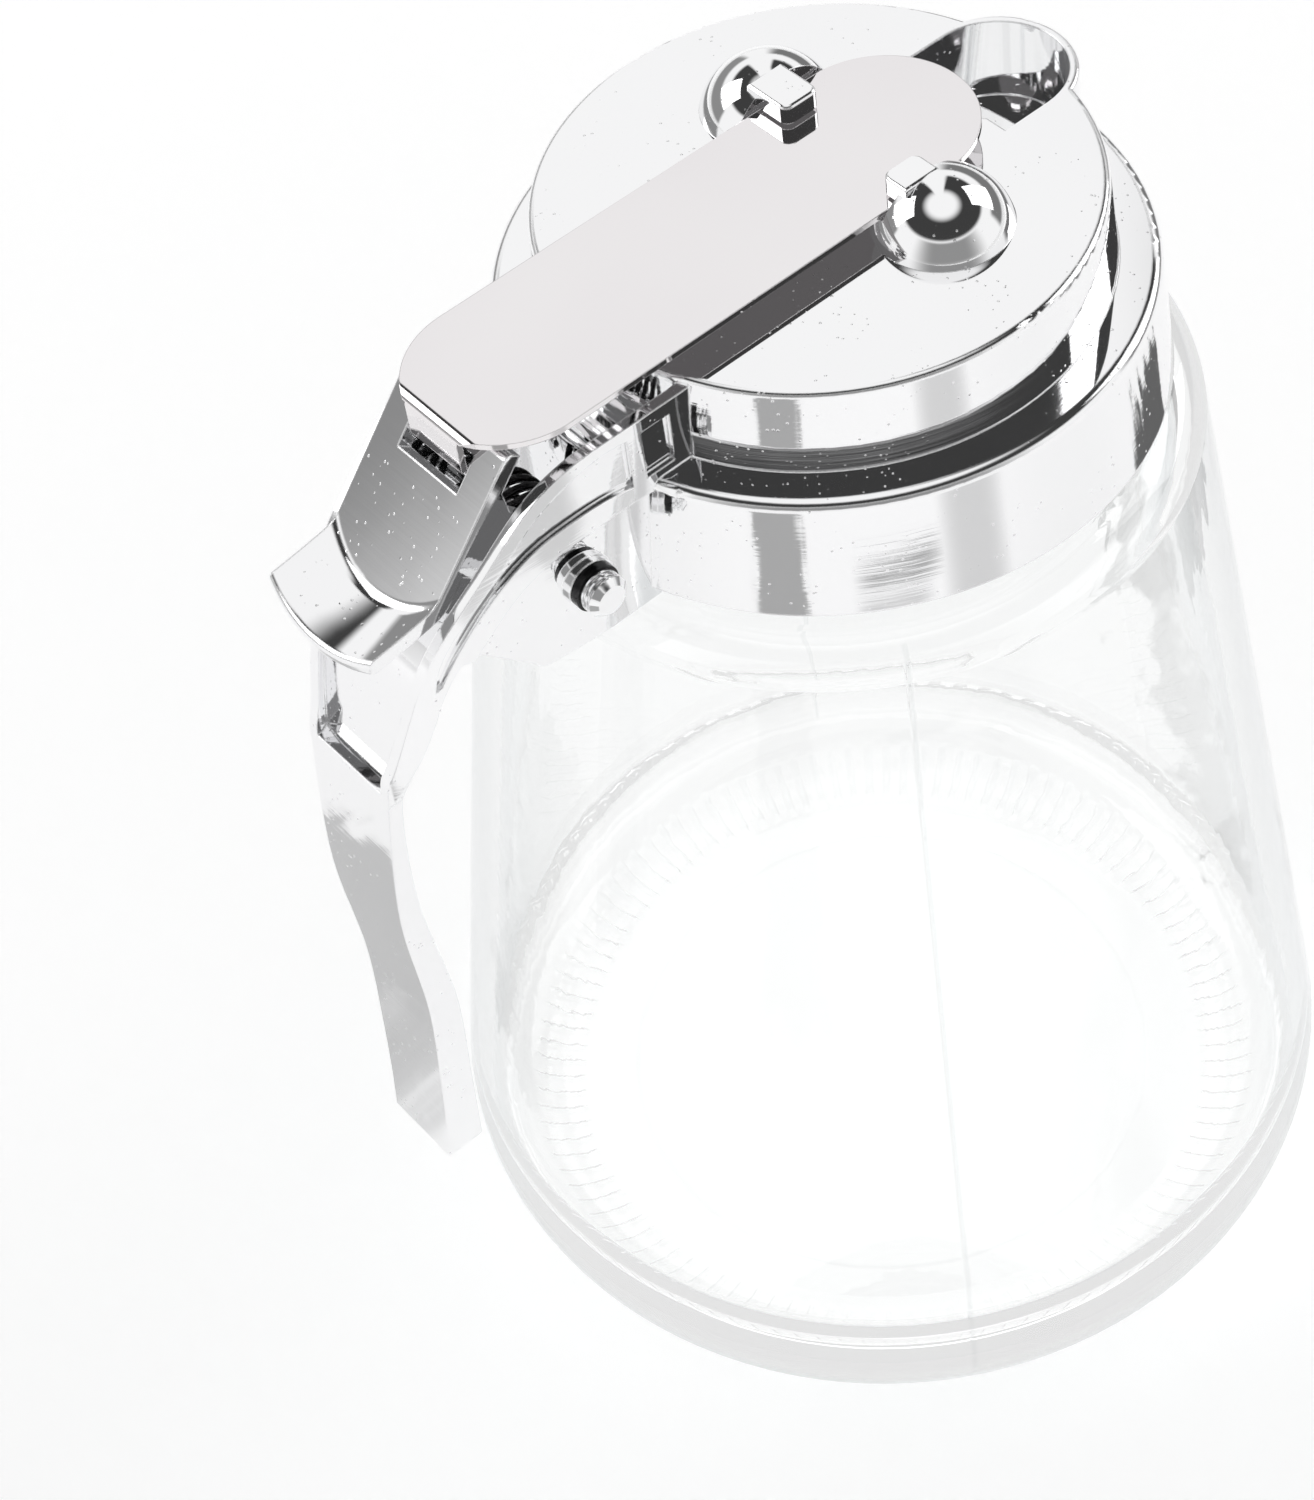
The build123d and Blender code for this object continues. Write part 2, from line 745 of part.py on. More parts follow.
# ================================================================ pivot pin
def pin_groove(radius, start, width):
    """The four corners of a groove round the pin, from its start outward."""
    return [
        (pin_x + pin_radius, start),
        (pin_x + radius, start),
        (pin_x + radius, start + width),
        (pin_x + pin_radius, start + width),
    ]


ring_groove_width = ring_thickness + 2 * ring_side_gap
ring_groove = pin_groove(groove_radius, ring_start_y - ring_side_gap, ring_groove_width)
head_radius = pin_radius - head_groove_depth
first_groove = pin_groove(head_radius, ring_end_y + head_groove_start, head_groove_width)
second_start = ring_end_y + head_groove_start + head_groove_pitch
second_groove = pin_groove(head_radius, second_start, head_groove_width)

with BuildPart() as pivot_pin:
    with BuildSketch(Plane.XY.offset(pin_z)):
        with BuildLine():
            Polyline(
                (pin_x, 0),
                (pin_x + pin_radius, 0),
                *ring_groove,
                *first_groove,
                *second_groove,
                (pin_x + pin_radius, pin_half_length - pin_dome),
                (pin_x + pin_radius - pin_dome, pin_half_length),
                (pin_x, pin_half_length),
                close=True,
            )
        make_face()
    revolve(axis=Axis((pin_x, 0, pin_z), (0, 1, 0)))
    mirror(about=Plane.XZ)

# ================================================================ retaining rings, open on the underside
with BuildPart() as retaining_rings:
    with BuildSketch(Plane.XZ.offset(-ring_end_y)):
        with Locations((pin_x, pin_z)):
            Circle(ring_radius)
            Circle(groove_radius + ring_bore_clearance, mode=Mode.SUBTRACT)
        with Locations((pin_x, pin_z - ring_radius)):
            Rectangle(ring_mouth, 2 * ring_radius, mode=Mode.SUBTRACT)
    extrude(amount=ring_thickness)
    mirror(about=Plane.XZ)

# ================================================================ torsion spring
def coil_point(angle, turns_from_middle):
    """Point on the coil's helix; the angle opens from +X towards +Z."""
    return pivot + Vector(
        coil_radius * cos(radians(angle)),
        coil_pitch * turns_from_middle,
        coil_radius * sin(radians(angle)),
    )


def coil_tangent(angle):
    """Direction of the helix at an angle."""
    rise = coil_pitch / (2 * pi * coil_radius)
    return Vector(-sin(radians(angle)), rise, cos(radians(angle))).normalized()


def biarc(p0, t0, p1, t1):
    """Two arcs that leave p0 along t0, reach p1 along t1 and share a tangent where they meet."""
    v = p1 - p0
    a = 2 * (t0.dot(t1) - 1)
    b = -2 * v.dot(t0 + t1)
    c = v.dot(v)
    d = c / -b if abs(a) < 1e-9 else (-b - sqrt(b * b - 4 * a * c)) / (2 * a)
    first_control = p0 + t0 * d
    second_control = p1 - t1 * d
    joint = (first_control + second_control) * 0.5
    TangentArc(p0, joint, tangent=t0)
    TangentArc(joint, p1, tangent=(second_control - first_control).normalized())


coil_sweep = coil_turns * 360 + coil_end_angle - coil_start_angle
half_turns = round(coil_sweep / 180)
step = coil_sweep / half_turns
stations = [
    (coil_start_angle + i * step, (i * step - coil_sweep / 2) / 360) for i in range(half_turns + 1)
]
coil_first = coil_point(*stations[0])
coil_last = coil_point(*stations[-1])
first_tangent = coil_tangent(stations[0][0])
last_tangent = coil_tangent(stations[-1][0])

# The lower leg runs down to the outside of the skirt.
lower_room = -skirt_radius - coil_first.X - wire_radius - spring_seat_gap
lower_end = coil_first + first_tangent * (lower_room / first_tangent.X)

# The upper leg runs up to the back of the lever and bends along it.
foot_height = plate_back - spring_seat_gap - wire_radius
last_height = (coil_last - pivot).dot(outward)
leg_rise = last_tangent.dot(outward)
leg_lean = last_tangent.dot(along)
bend_angle = atan2(leg_rise, leg_lean)
bend_run = foot_bend * tan(bend_angle / 2)
corner_reach = (foot_height - last_height) / leg_rise
leg_corner = coil_last + last_tangent * corner_reach
bend_start = leg_corner - last_tangent * bend_run
foot_direction = (last_tangent - outward * leg_rise).normalized()
bend_end = leg_corner + foot_direction * bend_run
foot_end = bend_end + foot_direction * foot_length

with BuildPart() as torsion_spring:
    with BuildLine() as wire_path:
        Line(lower_end, coil_first)
        for (angle_a, turn_a), (angle_b, turn_b) in zip(stations, stations[1:]):
            biarc(
                coil_point(angle_a, turn_a),
                coil_tangent(angle_a),
                coil_point(angle_b, turn_b),
                coil_tangent(angle_b),
            )
        Line(coil_last, bend_start)
        TangentArc(bend_start, bend_end, tangent=last_tangent)
        Line(bend_end, foot_end)
    with BuildSketch(Plane(origin=lower_end, z_dir=first_tangent)):
        Circle(wire_radius)
    sweep(path=wire_path.wires()[0])

# Least gap of the spring to itself, measured between points more than a third of a turn apart.
path = wire_path.wires()[0]
sample_count = 1200
samples = [path.position_at(i / sample_count) for i in range(sample_count + 1)]
spacing = path.length / sample_count
skip = int(2 * pi * coil_radius / 3 / spacing)
least = min(
    (samples[i] - samples[j]).length
    for i in range(0, sample_count + 1, 3)
    for j in range(i + skip, sample_count + 1, 3)
)
print(f"spring: wire {2 * wire_radius} mm, least gap to itself {least - 2 * wire_radius:.2f} mm")
volume_by_length = pi * wire_radius**2 * path.length
print(f"spring: volume {torsion_spring.part.volume:.2f}, section times length {volume_by_length:.2f}")

# ================================================================ labels and files
os.makedirs("parts", exist_ok=True)

glass_jar.part.label = "glass_jar"
sealing_ring.part.label = "sealing_ring"
lid_body.part.label = "lid_body"
guide_stud_left.part.label = "guide_stud_left"
guide_stud_right.part.label = "guide_stud_right"
shutter_blade.part.label = "shutter_blade"
thumb_lever.part.label = "thumb_lever"
pivot_pin.part.label = "pivot_pin"
retaining_rings.part.label = "retaining_rings"
torsion_spring.part.label = "torsion_spring"

export_step(glass_jar.part, "parts/glass_jar.step")
export_step(sealing_ring.part, "parts/sealing_ring.step")
export_step(lid_body.part, "parts/lid_body.step")
export_step(guide_stud_left.part, "parts/guide_stud_left.step")
export_step(guide_stud_right.part, "parts/guide_stud_right.step")
export_step(shutter_blade.part, "parts/shutter_blade.step")
export_step(thumb_lever.part, "parts/thumb_lever.step")
export_step(pivot_pin.part, "parts/pivot_pin.step")
export_step(retaining_rings.part, "parts/retaining_rings.step")
export_step(torsion_spring.part, "parts/torsion_spring.step")
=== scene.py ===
"""Looks of the syrup dispenser: plated lid and lever, steel blade, clear pressed glass jar.

Every CAD node keeps its shape and gets its material here. The script adds the screw thread, the
camera, a paper floor, a pale room and two soft lamps. Lengths are in metres, in the CAD's frame:
the jar stands on z = 0 with its axis on z. Azimuths are in degrees, from +X towards +Y.
"""

import math

import bpy
from mathutils import Matrix, Vector


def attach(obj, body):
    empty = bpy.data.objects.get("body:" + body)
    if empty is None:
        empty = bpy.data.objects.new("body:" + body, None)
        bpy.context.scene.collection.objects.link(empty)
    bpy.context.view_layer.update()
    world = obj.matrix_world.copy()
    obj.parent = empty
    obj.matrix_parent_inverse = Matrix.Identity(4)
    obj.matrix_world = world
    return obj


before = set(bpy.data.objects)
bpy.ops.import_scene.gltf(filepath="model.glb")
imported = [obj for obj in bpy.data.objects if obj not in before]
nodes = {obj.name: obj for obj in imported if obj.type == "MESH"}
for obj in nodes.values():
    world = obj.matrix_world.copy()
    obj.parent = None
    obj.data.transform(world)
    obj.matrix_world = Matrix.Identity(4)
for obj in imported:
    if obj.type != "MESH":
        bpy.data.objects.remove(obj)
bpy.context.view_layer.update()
scene = bpy.context.scene
scene.view_settings.view_transform = "Standard"

# ------------------------------------------------------------------ sizes
NECK_R = 0.0276
SKIRT_BORE_R = NECK_R + 0.001
WALL_FOOT_R = 0.0507  # where the wall's outer taper would meet z = 0
WALL_TAPER = 0.1514  # radius that the wall loses per metre of height
RIB_COUNT = 108
RIB_INNER_R, RIB_INNER_SOFT = 0.0365, 0.0008
RIB_OUTER_R, RIB_OUTER_SOFT = 0.0445, 0.0010
RIB_FULL_TOP, RIB_TOP = 0.0015, 0.0045  # heights up to which the ribs are at full depth, and end
BASE_RING_R, BASE_RING_SOFT = 0.0300, 0.0004
BASE_RING_FULL_TOP, BASE_RING_TOP = 0.0005, 0.0010
SEAM_AZIMUTH = math.radians(-121.4)
SEAM_CORE, SEAM_EDGE = 0.00010, 0.00038  # half widths of the dark line, full and faded out
SEAM_FULL_DEPTH, SEAM_DEPTH = 0.0010, 0.0018  # how far below the wall's outer face it is marked

THREAD_PITCH = 0.003175
THREAD_WIDTH = 0.0019
THREAD_SINK = 0.0001  # how far the ridge's foot is buried in the wall
THREAD_STEPS = 96  # along one turn
THREAD_POINTS = 7  # across the ridge
THREAD_FADE = 10  # steps in which an end runs out
THREAD_FULLNESS = 0.8  # below 1 the ridge is blunter than a half sine

FLOOR_HALF = 3.0
FLOOR_DROP = 0.0002  # keeps the paper just clear of the jar's foot

WHITE = (1.0, 1.0, 1.0, 1.0)
METAL_BOUNCES, METAL_LEVEL = 3, 0.18  # mirrorings after which a ray ends, and the light it ends in
GLASS_BOUNCES, GLASS_LEVEL = 2, 0.76


# ------------------------------------------------------------------ node helpers
class Tree:
    """Short calls for building a node tree."""

    def __init__(self, tree):
        self.t = tree

    def add(self, kind, inputs=None, **settings):
        """A new node. An input takes a number, a colour, a socket or a node's first output."""
        n = self.t.nodes.new(kind)
        for k, v in settings.items():
            setattr(n, k, v)
        for k, v in (inputs or {}).items():
            self.put(n, k, v)
        return n

    def put(self, n, key, v):
        if isinstance(v, bpy.types.NodeSocket):
            self.t.links.new(v, n.inputs[key])
        elif isinstance(v, bpy.types.Node):
            self.t.links.new(v.outputs[0], n.inputs[key])
        else:
            n.inputs[key].default_value = v

    def math(self, op, a, b=0.0):
        return self.add("ShaderNodeMath", {0: a, 1: b}, operation=op).outputs[0]

    def times(self, first, *others):
        for v in others:
            first = self.math("MULTIPLY", first, v)
        return first

    def most(self, first, *others):
        for v in others:
            first = self.math("MAXIMUM", first, v)
        return first

    def vector(self, op, a, b):
        return self.add("ShaderNodeVectorMath", {0: a, 1: b}, operation=op).outputs[0]

    def dot(self, a, b):
        n = self.add("ShaderNodeVectorMath", {0: a, 1: b}, operation="DOT_PRODUCT")
        return n.outputs["Value"]

    def scaled(self, a, by):
        return self.add("ShaderNodeVectorMath", {0: a, "Scale": by}, operation="SCALE").outputs[0]

    def length(self, a):
        return self.add("ShaderNodeVectorMath", {0: a}, operation="LENGTH").outputs["Value"]

    def unit(self, a):
        return self.add("ShaderNodeVectorMath", {0: a}, operation="NORMALIZE").outputs[0]

    def level(self, a):
        return self.vector("MULTIPLY", a, (1.0, 1.0, 0.0))

    def stretched(self, where, scale):
        return self.add("ShaderNodeMapping", {"Vector": where, "Scale": scale}).outputs[0]

    def span(self, v, low, high, first, last, kind="LINEAR"):
        """first where v is up to low, last where it is past high, and a slope between."""
        ends = {0: v, 1: low, 2: high, 3: first, 4: last}
        return self.add("ShaderNodeMapRange", ends, interpolation_type=kind).outputs[0]

    def rise(self, v, low, high):
        return self.span(v, low, high, 0.0, 1.0, "SMOOTHSTEP")

    def fall(self, v, low, high):
        return self.span(v, low, high, 1.0, 0.0, "SMOOTHSTEP")

    def band(self, v, low, low_full, high_full, high):
        """1 from low_full to high_full, 0 below low and above high."""
        return self.times(self.rise(v, low, low_full), self.fall(v, high_full, high))

    def sector(self, bearing, azimuth, near, far):
        """1 within near degrees of an azimuth, 0 past far degrees. bearing is a level unit vector."""
        a = math.radians(azimuth)
        cosine = self.dot(bearing, (math.cos(a), math.sin(a), 0.0))
        return self.rise(cosine, math.cos(math.radians(far)), math.cos(math.radians(near)))

    def ramp(self, fac, low, low_colour, high, high_colour):
        """A straight blend between two colours, low_colour up to low and high_colour from high on."""
        n = self.add("ShaderNodeValToRGB", {0: fac})
        for stop, place, colour in zip(n.color_ramp.elements, (low, high), (low_colour, high_colour)):
            stop.position = place
            stop.color = (*colour, 1.0)
        return n.outputs[0]

    def object_point(self):
        return self.add("ShaderNodeTexCoord").outputs["Object"]

    def noise(self, where, scale, detail=2.0, roughness=0.5):
        inputs = {"Vector": where, "Scale": scale, "Detail": detail, "Roughness": roughness}
        return self.add("ShaderNodeTexNoise", inputs).outputs["Fac"]

    def soft_edges(self, radius, samples):
        return self.add("ShaderNodeBevel", {"Radius": radius}, samples=samples).outputs[0]

    def bump(self, height, strength, distance, normal=None):
        inputs = {"Height": height, "Strength": strength, "Distance": distance}
        if normal is not None:
            inputs["Normal"] = normal
        return self.add("ShaderNodeBump", inputs).outputs[0]

    def light(self, level):
        return self.add("ShaderNodeEmission", {0: WHITE, 1: level}).outputs[0]

    def mix(self, factor, shader, other):
        return self.add("ShaderNodeMixShader", {0: factor, 1: shader, 2: other}).outputs[0]


def material(name):
    m = bpy.data.materials.new(name)
    m.use_nodes = True
    m.node_tree.nodes.clear()
    t = Tree(m.node_tree)
    out = t.add("ShaderNodeOutputMaterial")
    return m, t, out


def paint(obj, mat):
    obj.data.materials.clear()
    obj.data.materials.append(mat)


def settle(t, shader, bounces, level):
    """Rays that have been mirrored more than this many times end in an even light."""
    depth = t.add("ShaderNodeLightPath").outputs["Glossy Depth"]
    return t.mix(t.math("GREATER_THAN", depth, bounces + 0.5), shader, t.light(level))


# ------------------------------------------------------------------ plated metal
def plated(name, wave, bevel, dust, streak=0.0):
    """Bright plating over a moulding: slight waviness, dust, hairlines, soft edges."""
    m, t, out = material(name)
    where = t.object_point()
    ripple = t.noise(where, 95.0, detail=1.5, roughness=0.45)
    swell = t.noise(where, 26.0, detail=1.0)
    height = t.math("ADD", t.times(ripple, 0.35), swell)
    # dust: small dots that come in patches
    specks = t.add("ShaderNodeTexVoronoi", {"Vector": where, "Scale": 1150.0, "Randomness": 1.0})
    dots = t.fall(specks.outputs["Distance"], 0.06, 0.17)
    patchy = t.rise(t.noise(where, 210.0), 0.48, 0.60)
    grit = t.times(dots, patchy, dust)
    # level hairlines
    hair = t.noise(t.stretched(where, (30.0, 30.0, 1500.0)), 1.6, detail=3.0)
    wavy = t.bump(height, wave, 0.0004, t.soft_edges(bevel, samples=4))
    lined = t.bump(hair, streak, 0.00003, wavy)
    pitted = t.bump(grit, 0.4, 0.00005, lined)
    b = t.add("ShaderNodeBsdfPrincipled", {
        "Base Color": t.ramp(swell, 0.2, (0.885, 0.885, 0.895), 0.8, (0.915, 0.915, 0.92)),
        "Metallic": t.span(grit, 0.0, 1.0, 1.0, 0.10),
        "Roughness": t.span(hair, 0.35, 0.75, 0.02, 0.06),
        "Normal": pitted,
    })
    t.put(out, 0, settle(t, b, METAL_BOUNCES, METAL_LEVEL))
    return m


# ------------------------------------------------------------------ rolled steel blade
def steel():
    """Flat polished strip: faint lengthwise grain and a soft sheen."""
    m, t, out = material("Blade_Steel")
    where = t.object_point()
    grain = t.noise(t.stretched(where, (6.0, 900.0, 900.0)), 3.0, detail=4.0)
    cloud = t.noise(where, 35.0)
    b = t.add("ShaderNodeBsdfPrincipled", {
        "Base Color": t.ramp(cloud, 0.3, (0.80, 0.775, 0.785), 0.7, (0.83, 0.81, 0.815)),
        "Metallic": 1.0,
        "Roughness": t.span(grain, 0.3, 0.7, 0.03, 0.07),
        "Normal": t.bump(grain, 0.015, 0.0001, t.soft_edges(0.00012, samples=6)),
    })
    t.put(out, 0, settle(t, b, METAL_BOUNCES, METAL_LEVEL))
    return m


# ------------------------------------------------------------------ glass
def jar_marks(t, where):
    """Masks, from 0 to 1, of the ribs round the foot, the ring on the base and the mould seam."""
    x, y, z = t.add("ShaderNodeSeparateXYZ", {0: where}).outputs
    radius = t.math("SQRT", t.math("ADD", t.times(x, x), t.times(y, y)))
    comb = t.math("SINE", t.times(t.math("ARCTAN2", y, x), float(RIB_COUNT)))
    low = t.fall(z, RIB_FULL_TOP, RIB_TOP)
    inner = t.rise(radius, RIB_INNER_R - RIB_INNER_SOFT, RIB_INNER_R + RIB_INNER_SOFT)
    outer = t.fall(radius, RIB_OUTER_R - RIB_OUTER_SOFT, RIB_OUTER_R + RIB_OUTER_SOFT)
    ribs = t.times(t.rise(comb, -0.2, 0.9), low, inner, outer)
    off_ring = t.math("ABSOLUTE", t.math("SUBTRACT", radius, BASE_RING_R))
    under = t.fall(z, BASE_RING_FULL_TOP, BASE_RING_TOP)
    ring = t.times(t.fall(off_ring, 0.0, BASE_RING_SOFT), under)
    # the seam follows a plane through the axis, and is on the outer face of the tapered wall only
    off_plane = t.math("SUBTRACT", t.times(y, math.cos(SEAM_AZIMUTH)), t.times(x, math.sin(SEAM_AZIMUTH)))
    line = t.fall(t.math("ABSOLUTE", off_plane), SEAM_CORE, SEAM_EDGE)
    wall = t.math("ADD", t.times(z, -WALL_TAPER), WALL_FOOT_R)
    skin = t.fall(t.math("SUBTRACT", wall, radius), SEAM_FULL_DEPTH, SEAM_DEPTH)
    seam = t.times(line, skin)
    return ribs, ring, seam


def glass():
    """Pressed glass: wavy walls, marks of the mould, and a greyer tint where it is seen edge on."""
    m, t, out = material("Jar_Glass")
    where = t.object_point()
    ribs, ring, seam = jar_marks(t, where)
    marks = t.math("ADD", ribs, t.math("ADD", t.times(ring, 0.25), t.times(seam, 0.30)))
    wave = t.noise(t.stretched(where, (1.0, 1.0, 0.45)), 42.0, detail=1.0)
    fine = t.noise(where, 240.0)
    rippled = t.bump(t.math("ADD", wave, t.times(fine, 0.05)), 0.16, 0.0010)
    faint = t.most(t.times(ribs, 0.35), t.times(ring, 0.3), seam)
    tint = t.ramp(faint, 0.0, (0.990, 0.994, 0.993), 1.0, (0.86, 0.875, 0.875))
    facing = t.add("ShaderNodeLayerWeight", {"Blend": 0.5}).outputs["Facing"]
    grazing = t.rise(facing, 0.60, 0.99)
    b = t.add("ShaderNodeBsdfPrincipled", {
        "Base Color": t.add("ShaderNodeMixRGB", {0: grazing, 1: tint, 2: (0.66, 0.70, 0.72, 1.0)}),
        "Roughness": t.span(fine, 0.3, 0.8, 0.0, 0.012),
        "IOR": 1.5,
        "Transmission Weight": 1.0,
        "Normal": t.bump(marks, 0.6, 0.00022, rippled),
    })
    # lamps shine straight through, so the jar's shadow stays pale
    clear = t.add("ShaderNodeBsdfTransparent", {0: (0.93, 0.94, 0.94, 1.0)})
    shadow = t.add("ShaderNodeLightPath").outputs["Is Shadow Ray"]
    t.put(out, 0, t.mix(shadow, settle(t, b, GLASS_BOUNCES, GLASS_LEVEL), clear))
    return m


# ------------------------------------------------------------------ spring wire and sealing ring
def black_wire():
    """Blackened spring steel: dark, slightly mottled, with a satin gloss."""
    m, t, out = material("Black_Wire")
    mottle = t.noise(t.object_point(), 700.0, detail=3.0)
    b = t.add("ShaderNodeBsdfPrincipled", {
        "Base Color": t.ramp(mottle, 0.35, (0.012, 0.012, 0.013), 0.75, (0.045, 0.044, 0.045)),
        "Metallic": 0.8,
        "Roughness": t.span(mottle, 0.3, 0.7, 0.16, 0.28),
        "Normal": t.bump(mottle, 0.12, 0.0001),
    })
    t.put(out, 0, b)
    return m


def soft_seal():
    """Pale food-grade rubber, matt and a little translucent."""
    m, t, out = material("Seal")
    mottle = t.noise(t.object_point(), 300.0, detail=3.0)
    b = t.add("ShaderNodeBsdfPrincipled", {
        "Base Color": t.ramp(mottle, 0.3, (0.78, 0.78, 0.76), 0.7, (0.85, 0.85, 0.83)),
        "Roughness": 0.5,
        "Subsurface Weight": 0.15,
        "Subsurface Scale": 0.002,
        "Normal": t.bump(mottle, 0.1, 0.0001),
    })
    t.put(out, 0, b)
    return m


# ------------------------------------------------------------------ each node's finish
chrome = plated("Plating", wave=0.10, bevel=0.00025, dust=1.0, streak=0.12)
chrome_small = plated("Plating_Small", wave=0.05, bevel=0.00012, dust=0.6)
blade_steel = steel()
jar_glass = glass()
wire = black_wire()
seal = soft_seal()

for node_name, finish in {
    "glass_jar": jar_glass,
    "sealing_ring": seal,
    "lid_body": chrome,
    "guide_stud_left": chrome_small,
    "guide_stud_right": chrome_small,
    "shutter_blade": blade_steel,
    "thumb_lever": chrome,
    "pivot_pin": chrome_small,
    "retaining_rings": wire,
    "torsion_spring": wire,
}.items():
    paint(nodes[node_name], finish)


# ------------------------------------------------------------------ screw thread
def thread(name, mat, body, radius, depth, foot, turns, inward=False):
    """A rounded ridge round the axis, one pitch up per turn, that runs out at both ends."""
    side = -1.0 if inward else 1.0
    steps = int(THREAD_STEPS * turns)
    verts, faces = [], []
    for i in range(steps + 1):
        angle = 2 * math.pi * turns * i / steps
        fade = min(1.0, i / THREAD_FADE, (steps - i) / THREAD_FADE)
        z = foot + THREAD_PITCH * turns * i / steps
        for k in range(THREAD_POINTS):
            share = k / (THREAD_POINTS - 1)
            proud = depth * fade * math.sin(math.pi * share) ** THREAD_FULLNESS
            r = radius + side * (proud - THREAD_SINK)
            verts.append((r * math.cos(angle), r * math.sin(angle), z + (share - 0.5) * THREAD_WIDTH))
    for i in range(steps):
        for k in range(THREAD_POINTS - 1):
            a = i * THREAD_POINTS + k
            faces.append((a, a + THREAD_POINTS, a + THREAD_POINTS + 1, a + 1))
    mesh = bpy.data.meshes.new(name)
    mesh.from_pydata(verts, [], faces)
    mesh.polygons.foreach_set("use_smooth", [True] * len(faces))
    o = bpy.data.objects.new(name, mesh)
    scene.collection.objects.link(o)
    paint(o, mat)
    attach(o, body)


thread("neck_thread", jar_glass, "jar", NECK_R, depth=0.00062, foot=0.1165, turns=1.6)
thread("skirt_thread", chrome_small, "lid", SKIRT_BORE_R, depth=0.00035, foot=0.1181, turns=1.4, inward=True)

# ------------------------------------------------------------------ camera, at the photograph's angle
CAMERA_PLACE = Vector((-0.135260, -0.168451, 0.324867))
CAMERA_AZIMUTH = 236.9901  # of the side that the camera stands on
CAMERA_ELEVATION = 50.6517
CAMERA_ROLL = -9.3188

cam_data = bpy.data.cameras.new("Camera")
cam_data.lens = 77.93
cam_data.sensor_width = 36.0
cam_data.clip_start = 0.01
cam_data.clip_end = 20.0
cam = bpy.data.objects.new("Camera", cam_data)
scene.collection.objects.link(cam)
aim = Matrix.Rotation(math.radians(CAMERA_AZIMUTH + 90.0), 4, "Z")
tilt = Matrix.Rotation(math.radians(90.0 - CAMERA_ELEVATION), 4, "X")
roll = Matrix.Rotation(math.radians(CAMERA_ROLL), 4, "Z")
cam.matrix_world = Matrix.Translation(CAMERA_PLACE) @ aim @ tilt @ roll
scene.camera = cam

# ------------------------------------------------------------------ floor: white paper
mesh = bpy.data.meshes.new("Floor")
corners = [(x * FLOOR_HALF, y * FLOOR_HALF, 0.0) for x, y in ((-1, -1), (1, -1), (1, 1), (-1, 1))]
mesh.from_pydata(corners, [], [(0, 1, 2, 3)])
floor = bpy.data.objects.new("Floor", mesh)
scene.collection.objects.link(floor)
floor.location.z = -FLOOR_DROP
m, t, out = material("Floor_Paper")
spot = t.object_point()
path = t.add("ShaderNodeLightPath").outputs
seen = t.most(path["Is Camera Ray"], path["Is Glossy Ray"], path["Is Transmission Ray"])

TEAR = 0.034  # how far a torn edge wanders
wander = t.add("ShaderNodeTexNoise", {"Vector": spot, "Scale": 120.0, "Detail": 4.0, "Roughness": 0.6})
wander = t.vector("SUBTRACT", wander.outputs["Color"], (0.5, 0.5, 0.5))
torn_spot = t.vector("ADD", spot, t.scaled(wander, TEAR))


def polar(t, place):
    """Bearing, as a unit vector, and distance from the jar's axis."""
    ground = t.level(place)
    return t.unit(ground), t.length(ground)


SMOOTH = polar(t, spot)
RAGGED = polar(t, torn_spot)
REFLECTION_SOFT = 0.003  # width of a painted reflection patch's soft rim


def painted_reflection(edge, azimuth, near, far, inner, outer, shade):
    """A patch of painted reflection on the floor, between two distances from the axis. shade is how much
    light it takes.
    """
    bearing, reach = edge
    along = t.band(reach, inner - REFLECTION_SOFT, inner, outer, outer + REFLECTION_SOFT)
    return t.times(t.sector(bearing, azimuth, near, far), along, shade)


# painted reflections: grey patches on the floor for the plating to mirror; only mirrored rays see them, as
# darker paper
painted_reflections = t.most(
    painted_reflection(RAGGED, 211.0, 6.0, 8.0, 0.120, 0.260, 0.55),
    painted_reflection(SMOOTH, 269.0, 1.0, 12.0, 0.120, 0.260, 0.28),
    painted_reflection(SMOOTH, 244.0, 5.0, 13.0, 0.1790, 0.1800, 0.35),
    painted_reflection(SMOOTH, 246.0, 6.0, 15.0, 0.1870, 0.1880, 0.60),
    painted_reflection(RAGGED, 345.0, 11.0, 13.0, 0.138, 0.162, 0.85),
    painted_reflection(RAGGED, 145.0, 3.0, 15.0, 0.070, 0.140, 0.36),
    painted_reflection(SMOOTH, 60.0, 9.0, 14.0, 0.120, 0.260, 0.45),
)
# painted reflection: for mirrored rays the paper is darker where the patches lie
outside_reflections = t.math("SUBTRACT", 1.0, t.times(painted_reflections, path["Is Glossy Ray"]))


def strip(start, end, half_width, soft, shade):
    """A torn stripe on the floor between two points, its edges faded over soft to either side."""
    start, end = Vector((*start, 0.0)), Vector((*end, 0.0))
    ahead = (end - start).normalized()
    aside = Vector((-ahead.y, ahead.x, 0.0))
    from_middle = t.vector("SUBTRACT", torn_spot, (start + end) / 2)
    covers = shade
    for axis, half in ((ahead, (end - start).length / 2), (aside, half_width)):
        off = t.math("ABSOLUTE", t.dot(from_middle, axis))
        covers = t.times(t.fall(off, half - soft, half + soft), covers)
    return covers


# painted shade that shows through the glass on the right: grey patches on the floor, a darker part of one
# and a dark corner, seen by rays through glass only
painted_glass_shade = t.most(
    strip((0.056, -0.016), (0.106, 0.048), 0.0060, 0.0022, 0.32),
    strip((0.082, 0.018), (0.108, 0.052), 0.0050, 0.0030, 0.45),
    strip((0.055, -0.017), (0.060, -0.010), 0.0050, 0.0012, 0.70),
)

